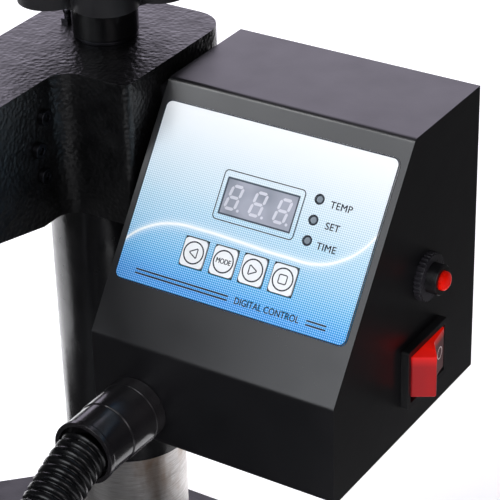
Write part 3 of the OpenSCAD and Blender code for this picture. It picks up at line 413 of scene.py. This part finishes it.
def round_edges(piece, radius):
    """Rounded edges and smooth shading, as modifiers."""
    weld = piece.modifiers.new("weld", "WELD")
    weld.merge_threshold = 1e-6
    flat = piece.modifiers.new("flat", "DECIMATE")
    flat.decimate_type = "DISSOLVE"
    flat.angle_limit = math.radians(1.0)
    if radius > 0:
        bevel = piece.modifiers.new("edges", "BEVEL")
        bevel.width = radius * MM
        bevel.segments = BEVEL_STEPS
        bevel.limit_method = "ANGLE"
        bevel.angle_limit = SHARP_ANGLE
        bevel.miter_outer = "MITER_ARC"
    smooth = piece.modifiers.new("smooth", "NODES")
    smooth.node_group = SMOOTH
    piece.modifiers.new("normals", "WEIGHTED_NORMAL").keep_sharp = True


def finish_nodes():
    for name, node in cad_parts.items():
        slot = node.material_slots[0].material.name.split(".")[0]
        node.data.materials[0] = MATERIALS[slot]
        round_edges(node, EDGE.get(name, 0.0))


finish_nodes()
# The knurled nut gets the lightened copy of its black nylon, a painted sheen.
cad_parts["breaker_nut"].data.materials[0] = KNURL_PAINTED_SHEEN


# ---- Piece helpers ----
def add_mesh(name, bm, material, body, smooth, matrix=None):
    """A piece on that body, or on none when it bends between two bodies."""
    mesh = bpy.data.meshes.new(name)
    if matrix is not None:
        bm.transform(matrix)
    bmesh.ops.recalc_face_normals(bm, faces=bm.faces)
    bm.to_mesh(mesh)
    bm.free()
    mesh.materials.append(material)
    for polygon in mesh.polygons:
        polygon.use_smooth = smooth
    piece = bpy.data.objects.new(name, mesh)
    bpy.context.scene.collection.objects.link(piece)
    if body is not None:
        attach(piece, body)
    return piece


def skin(bm, rings):
    """Faces between the rings of points, with both ends closed."""
    count = len(rings[0])
    for ring, after in zip(rings, rings[1:]):
        for k in range(count):
            bm.faces.new((ring[k], ring[(k + 1) % count], after[(k + 1) % count], after[k]))
    bm.faces.new(rings[0])
    bm.faces.new(rings[-1])


def rounded_outline(width, height, radius, steps, centre):
    """Corner points of a rounded rectangle, in mm."""
    points = []
    for quarter, (side_x, side_y) in enumerate([(1, 1), (-1, 1), (-1, -1), (1, -1)]):
        for step in range(steps + 1):
            angle = math.pi / 2 * (quarter + step / steps)
            points.append((centre[0] + side_x * (width / 2 - radius) + radius * math.cos(angle),
                           centre[1] + side_y * (height / 2 - radius) + radius * math.sin(angle)))
    return points


def circle(radius, centre=(0, 0), steps=40):
    return [(centre[0] + radius * math.cos(2 * math.pi * i / steps),
             centre[1] + radius * math.sin(2 * math.pi * i / steps)) for i in range(steps)]


def fill(bm, points, out):
    """A thin printed patch, from its closed outline."""
    loops = [[bm.verts.new((x * MM, y * MM, z * MM)) for x, y in points] for z in (out, out + INK)]
    bm.faces.new(loops[1])
    for i in range(len(points)):
        j = (i + 1) % len(points)
        bm.faces.new((loops[0][i], loops[0][j], loops[1][j], loops[1][i]))


def stroke(bm, points, width, out, closed=True, thick=INK):
    """A printed line of even width along the points."""
    count = len(points)
    rails = []
    for i, point in enumerate(points):
        before = points[i - 1] if closed or i else points[0]
        after = points[(i + 1) % count] if closed or i < count - 1 else points[-1]
        along = (Vector(after) - Vector(before)).normalized()
        side = Vector((-along.y, along.x)) * width / 2
        rails.append([bm.verts.new(((point[0] + s * side.x) * MM, (point[1] + s * side.y) * MM, z * MM))
                      for s in (-1, 1) for z in (out, out + thick)])
    for i in range(count if closed else count - 1):
        a, b = rails[i], rails[(i + 1) % count]
        bm.faces.new((a[1], b[1], b[3], a[3]))
        bm.faces.new((a[0], b[0], b[1], a[1]))
        bm.faces.new((a[2], a[3], b[3], b[2]))


BOLD = ((-0.06, -0.03, 0), (0.12, 0, 0), (-0.06, 0.06, 0.002))  # shifts that thicken each letter


def write(bm, words, size, centre, out, squeeze, spacing):
    """Words as thin raised letters."""
    curve = bpy.data.curves.new("letters", "FONT")
    curve.body = words
    curve.size = size * MM
    curve.align_x, curve.align_y = "CENTER", "CENTER"
    curve.space_character = spacing
    curve.extrude = INK / 2 * MM
    letters = bpy.data.objects.new("letters", curve)
    bpy.context.scene.collection.objects.link(letters)
    bpy.context.view_layer.update()
    mesh = bpy.data.meshes.new_from_object(letters.evaluated_get(bpy.context.evaluated_depsgraph_get()))
    mesh.transform(Matrix.Diagonal((squeeze, 1, 1, 1)))
    mesh.transform(Matrix.Translation((centre[0] * MM, centre[1] * MM, (out + INK / 2) * MM)))
    for step in BOLD:
        mesh.transform(Matrix.Translation(Vector(step) * MM))
        bm.from_mesh(mesh)
    bpy.data.objects.remove(letters)
    bpy.data.curves.remove(curve)
    bpy.data.meshes.remove(mesh)


# ---- Hose: corrugated tube from the gland to the upper jaw ----
ROW_SHIFT = Vector((COLUMN.x, COLUMN.y, 0))
HOSE_ROUTE = [ROW_SHIFT + Vector(p) * MM for p in (
    (57, -104.7, 170.3), (57, -108.5, 169.4), (57.2, -114.5, 167.7), (57.6, -120.5, 165.5),
    (58, -126.5, 163.05), (58.3, -132.5, 160.25), (58.5, -139.5, 156.8), (58.5, -147.5, 152.75),
    (58.3, -156.5, 148.4), (57.9, -166.5, 144.3), (57.2, -177.5, 141), (56.3, -188.5, 139.1),
    (55.3, -200, 138.3), (54.5, -211, 138), (54.1, -221, 138), (54, -228, 138), (54, -232, 138))]
HOSE_RADIUS = 10.0
RIB_PITCH = 3.75
RIB_DEPTH = 1.7


def smooth_route(points, step):
    """Catmull-Rom curve through the points, resampled at even steps."""
    fine = [points[0]]
    for i in range(len(points) - 1):
        a, b = points[max(i - 1, 0)], points[i]
        c, d = points[i + 1], points[min(i + 2, len(points) - 1)]
        for k in range(1, 13):
            t = k / 12
            fine.append(0.5 * ((2 * b) + (c - a) * t + (2 * a - 5 * b + 4 * c - d) * t * t
                               + (3 * b - a - 3 * c + d) * t ** 3))
    lengths = [0.0]
    for p, q in zip(fine, fine[1:]):
        lengths.append(lengths[-1] + (q - p).length)
    count = round(lengths[-1] / step)
    even, j = [], 0
    for i in range(count + 1):
        target = lengths[-1] * i / count
        while j < len(fine) - 2 and lengths[j + 1] < target:
            j += 1
        share = (target - lengths[j]) / max(lengths[j + 1] - lengths[j], 1e-9)
        even.append(fine[j].lerp(fine[j + 1], min(share, 1.0)))
    return even, lengths[-1]


def make_hose():
    per_rib = 10
    centres, length = smooth_route(HOSE_ROUTE, RIB_PITCH * MM / per_rib)
    sides = 40
    bm = bmesh.new()
    rings = []
    for i, centre in enumerate(centres):
        along = (centres[min(i + 1, len(centres) - 1)] - centres[max(i - 1, 0)]).normalized()
        side = along.cross(Vector((0, 0, 1))).normalized()
        up = side.cross(along)
        phase = 2 * math.pi * (i % per_rib) / per_rib
        crest = 0.5 + 0.5 * math.cos(phase)
        radius = (HOSE_RADIUS - RIB_DEPTH * (1 - crest) ** 3) * MM
        rings.append([bm.verts.new(centre + radius * (math.cos(a) * side + math.sin(a) * up))
                      for a in (2 * math.pi * k / sides for k in range(sides))])
    skin(bm, rings)
    hose = add_mesh("hose_tube", bm, MATERIALS["hose_plastic"], None, True)
    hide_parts("hose")
    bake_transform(hose)


make_hose()

# ---- Return spring between the casting's seat and the ram's collar, which shortens in use; the coil here is built at one fixed length ----
SPRING_WIRE = 1.4 * MM
SPRING_TURNS = 6
SPRING_CROWDING = 0.09  # how much closer the coils lie towards both ends


def make_spring():
    low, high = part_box("return_spring")
    middle = (low + high) / 2
    coil = (high.x - low.x) / 2 - SPRING_WIRE
    length = high.z - low.z - 2 * SPRING_WIRE
    steps, sides = 36 * SPRING_TURNS, 12
    bm = bmesh.new()
    rings = []
    for i in range(steps + 1):
        share = i / steps
        turn = 2 * math.pi * SPRING_TURNS * share
        height = low.z + SPRING_WIRE + length * (share - SPRING_CROWDING * math.sin(2 * math.pi * share))
        rings.append([bm.verts.new((middle.x + (coil + SPRING_WIRE * math.cos(b)) * math.cos(turn),
                                    middle.y + (coil + SPRING_WIRE * math.cos(b)) * math.sin(turn),
                                    height + SPRING_WIRE * math.sin(b)))
                      for b in (2 * math.pi * k / sides for k in range(sides))])
    skin(bm, rings)
    spring = add_mesh("spring_coil", bm, MATERIALS["spring_steel"], None, True)
    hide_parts("return_spring")
    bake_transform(spring)


make_spring()

# ---- Front panel print ----
WINDOW = (52.7, 62.8)  # middle of the display window, across and up the sloping face
KEY_ROW = 39.2
KEYS = {"key_left": 32.8, "key_mode": 45.8, "key_right": 58.4, "key_stop": 71.2}
KEY_W, KEY_L = 9.8, 10.7
LIGHTS = {"TEMP": 70.6, "SET": 62.8, "TIME": 55.1}
LIGHT_U = 75.8
MARK_WIDTH = 0.42


def panel_print():
    dark = bmesh.new()
    out = OVERLAY_TOP
    stroke(dark, rounded_outline(99.3, 69.4, 2.7, 8, (52.3, 57.15)), 0.45, out)
    u, v = WINDOW
    stroke(dark, rounded_outline(34.4, 18.7, 1.6, 6, (u, v + 0.15)), 0.38, out)
    for key in KEYS.values():
        stroke(dark, rounded_outline(KEY_W + 0.55, KEY_L + 0.55, 1.5, 5, (key, KEY_ROW)), 0.28, out)
    for rung in (27.6, 26.1):
        for start, end in ((11.0, 51.6), (84.8, 93.1)):
            stroke(dark, [(start, rung), (end, rung)], 0.6, out, closed=False)
    for words, row in LIGHTS.items():
        stroke(dark, circle(1.75, (LIGHT_U, row)), 0.5, out)
        write(dark, words, 3.7, (LIGHT_U + (9.3 if words == "TEMP" else 8.2), row - 0.9), out, 0.98, 1.06)
    write(dark, "DIGITAL CONTROL", 3.6, (68.2, 26.8), out, 0.84, 1.03)
    add_mesh("overlay_print", dark, INK_DARK, "arm", False, PANEL)


def key_marks():
    """A ring on each key, with an arrow, a square or a word in it."""
    arrow = [(1.5, 1.9), (1.5, -1.9), (-1.9, 0)]
    arrows = {"key_left": arrow, "key_right": [(-x, y) for x, y in arrow]}
    for name in (*arrows, "key_stop", "key_mode"):
        u = KEYS[name]
        bm = bmesh.new()
        stroke(bm, circle(4.1, (u, KEY_ROW)), 0.52, KEY_TOP)
        if name in arrows:
            stroke(bm, corner_line(arrows[name], u), MARK_WIDTH, KEY_TOP)
        elif name == "key_stop":
            stroke(bm, rounded_outline(3.3, 3.3, 0.5, 2, (u, KEY_ROW)), MARK_WIDTH, KEY_TOP)
        else:
            write(bm, "MODE", 2.7, (u, KEY_ROW), KEY_TOP, 0.84, 0.97)
        add_mesh(name + "_mark", bm, INK_LINE, name, False, PANEL)


def corner_line(corners, u):
    """A closed line with its corners cut a little, so that a stroke keeps its width there."""
    points = []
    count = len(corners)
    for i in range(count):
        a, b, c = (Vector(corners[(i + k - 1) % count]) for k in range(3))
        for end in (a, c):
            points.append(b + (end - b).normalized() * 0.25 + Vector((u, KEY_ROW)))
    return [tuple(p) for p in points]


def digits():
    """Three unlit seven-segment digits with their points, leaning as such modules do."""
    bm = bmesh.new()
    bar, gap, lean = 1.15, 0.22, 0.17
    half, w, h = bar / 2, 5.4 / 2, 9.8 / 2
    for middle in (42.6, 53.0, 63.4):
        def place(x, y):
            return (middle - 0.6 + x + lean * y, WINDOW[1] + y)
        for y in (-h + half, 0, h - half):
            fill(bm, [place(*p) for p in (
                (-w + bar + gap, y - half), (w - bar - gap, y - half), (w - half - gap, y),
                (w - bar - gap, y + half), (-w + bar + gap, y + half), (-w + half + gap, y))], WINDOW_TOP)
        for x in (-w + half, w - half):
            for low, high in ((-h + half + gap, -gap), (gap, h - half - gap)):
                fill(bm, [place(*p) for p in (
                    (x, low), (x + half, low + half), (x + half, high - half),
                    (x, high), (x - half, high - half), (x - half, low + half))], WINDOW_TOP)
        fill(bm, circle(0.55, place(w + 1.0, -h + 0.5), 16), WINDOW_TOP)
    add_mesh("display_digits", bm, DIGIT_WHITE, "arm", False, PANEL)
    edge = bmesh.new()
    stroke(edge, rounded_outline(30.4, 13.6, 0.4, 2, WINDOW), 0.7, WINDOW_TOP)
    add_mesh("window_edge", edge, WINDOW_EDGE, "arm", False, PANEL)


panel_print()
key_marks()
digits()

# ---- Rocker paddle with its ring mark and a painted highlight along its ridge, and reset button ----
# Where the ring mark and the painted ridge highlight sit on the rear half.
MARK_SPOT, VALLEY_SPOT = 6.4, 0.32  # along the rear half, from the valley
RESET_PROFILE = [(3.7, 3.0), (3.7, 8.2), (3.55, 8.75), (3.2, 9.2), (2.6, 9.6), (1.8, 9.88), (0.9, 10.02)]


def make_rocker():
    bm = bmesh.new()
    sides = [[bm.verts.new((x * MM, y * MM, z * MM)) for x, y in PADDLE_PROFILE]
             for z in (-PADDLE_HALF, PADDLE_HALF)]
    for side in sides:
        bm.faces.new(side)
    for i in range(len(PADDLE_PROFILE)):
        j = (i + 1) % len(PADDLE_PROFILE)
        bm.faces.new((sides[0][i], sides[0][j], sides[1][j], sides[1][i]))
    paddle = add_mesh("rocker_paddle", bm, MATERIALS["red_plastic"], "rocker", True, PADDLE)
    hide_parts("rocker")
    bevel = paddle.modifiers.new("edges", "BEVEL")
    bevel.width = PADDLE_EDGE * MM
    bevel.segments = BEVEL_STEPS
    bevel.limit_method = "ANGLE"
    bevel.angle_limit = SHARP_ANGLE / 2
    paddle.modifiers.new("smooth", "NODES").node_group = SMOOTH
    paddle.modifiers.new("normals", "WEIGHTED_NORMAL").keep_sharp = True


def rear_half(distance):
    """Matrix onto the paddle's rear half, at that distance from the valley."""
    along = (PADDLE_REAR - PADDLE_VALLEY).normalized()
    spot = (PADDLE_VALLEY + along * distance) * MM
    face = Matrix(((0, along.x, along.y, 0), (0, along.y, -along.x, 0), (1, 0, 0, 0), (0, 0, 0, 1)))
    return PADDLE @ Matrix.Translation((spot.x, spot.y, 0)) @ face


def rocker_mark_and_ridge_highlight():
    mark = bmesh.new()
    stroke(mark, circle(2.4), 0.42, 0.0, thick=0.05)
    add_mesh("rocker_mark", mark, MARK_WHITE, "rocker", False, rear_half(MARK_SPOT))
    # A pale pink line along the ridge at the valley: a painted highlight.
    ridge_highlight = bmesh.new()
    reach = PADDLE_HALF - 0.6
    stroke(ridge_highlight, [(-reach, 0), (reach, 0)], 0.5, 0.0, closed=False, thick=0.08)
    add_mesh("rocker_ridge_highlight", ridge_highlight, PAINTED_RIDGE_HIGHLIGHT, "rocker", False, rear_half(VALLEY_SPOT))


def make_reset_dome():
    """Push button with a domed end."""
    bm = bmesh.new()
    skin(bm, [[bm.verts.new((out * MM, radius * MM * c, radius * MM * s)) for c, s in circle(1)]
              for radius, out in RESET_PROFILE])
    place = Matrix.Translation((BOX_HIGH.x, (NUT_LOW.y + NUT_HIGH.y) / 2, (NUT_LOW.z + NUT_HIGH.z) / 2))
    dome = add_mesh("reset_dome", bm, MATERIALS["reset_red"], "reset_button", True, place)
    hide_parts("reset_button")


make_rocker()
rocker_mark_and_ridge_highlight()
make_reset_dome()

# ---- Floor, reflector cards and lights ----
FLOOR_SIZE = 12.0
LOOK_AT = BOX_LOW + Vector((0.03, 0.065, 0.06))


def stage_plane(name, low, high, z):
    mesh = bpy.data.meshes.new(name)
    corners = [(low[0], low[1], z), (high[0], low[1], z), (high[0], high[1], z), (low[0], high[1], z)]
    mesh.from_pydata(corners, [], [(0, 1, 2, 3)])
    plane = bpy.data.objects.new(name, mesh)
    bpy.context.scene.collection.objects.link(plane)
    return plane


def make_floor():
    floor = stage_plane("floor", (-FLOOR_SIZE, -FLOOR_SIZE), (FLOOR_SIZE, FLOOR_SIZE), 0)
    n = Nodes("pale_floor", Roughness=0.9, Specular_IOR_Level=0.0, Emission_Strength=0.55,
              Emission_Color=(1, 1, 1, 1))
    n.link(n.ramp(n.noise(3, 2.0), [(0.3, srgb(240, 240, 240)), (0.7, srgb(246, 246, 246))]), "Base Color")
    floor.data.materials.append(n.material)
    floor.visible_glossy = False
    cards = (("white_card", (-0.7, 0.02), (0.17, 0.9), 1.0), ("grey_card", (0.1, -0.5), (0.4, -0.1), 0.3),
             ("left_card", (-0.9, -0.15), (-0.24, 0.02), 1.0))
    for name, low, high, strength in cards:
        card = stage_plane(name, (COLUMN.x + low[0], COLUMN.y + low[1]),
                           (COLUMN.x + high[0], COLUMN.y + high[1]), 0.0005)
        m = Nodes(name, Roughness=1.0, Emission_Strength=strength, Emission_Color=(1, 1, 1, 1))
        card.data.materials.append(m.material)
        for ray in ("camera", "diffuse", "transmission", "shadow", "volume_scatter"):
            setattr(card, "visible_" + ray, False)


def soft_light(name, direction, distance, size, radiance, colour=(1, 1, 1)):
    """A square softbox of that radiance, facing the object."""
    data = bpy.data.lights.new(name, "AREA")
    data.shape = "SQUARE"
    data.size = size
    data.energy = radiance * math.pi * size * size
    data.color = colour
    light = bpy.data.objects.new(name, data)
    away = Vector(direction).normalized()
    light.location = LOOK_AT + away * distance
    light.rotation_mode = "QUATERNION"
    light.rotation_quaternion = away.to_track_quat("Z", "Y")
    bpy.context.scene.collection.objects.link(light)


def make_lights():
    soft_light("softbox_back", (-0.47, 0.727, 0.5), 1.5, 1.5, 1.75, (0.92, 0.85, 1.04))
    soft_light("softbox_key", (-0.27, -0.77, 0.58), 1.5, 1.6, 3.05, (0.94, 0.97, 1.02))
    soft_light("softbox_right", (0.75, -0.6, 0.45), 1.6, 0.8, 2.0, (1.0, 0.95, 1.0))
    soft_light("softbox_top", (-0.47, -0.45, 0.76), 1.6, 0.4, 11.0)
    world = bpy.data.worlds.new("studio")
    world.use_nodes = True
    world.node_tree.nodes["Background"].inputs["Color"].default_value = (1, 1, 1, 1)
    world.node_tree.nodes["Background"].inputs["Strength"].default_value = 0.05
    bpy.context.scene.world = world


make_floor()
make_lights()
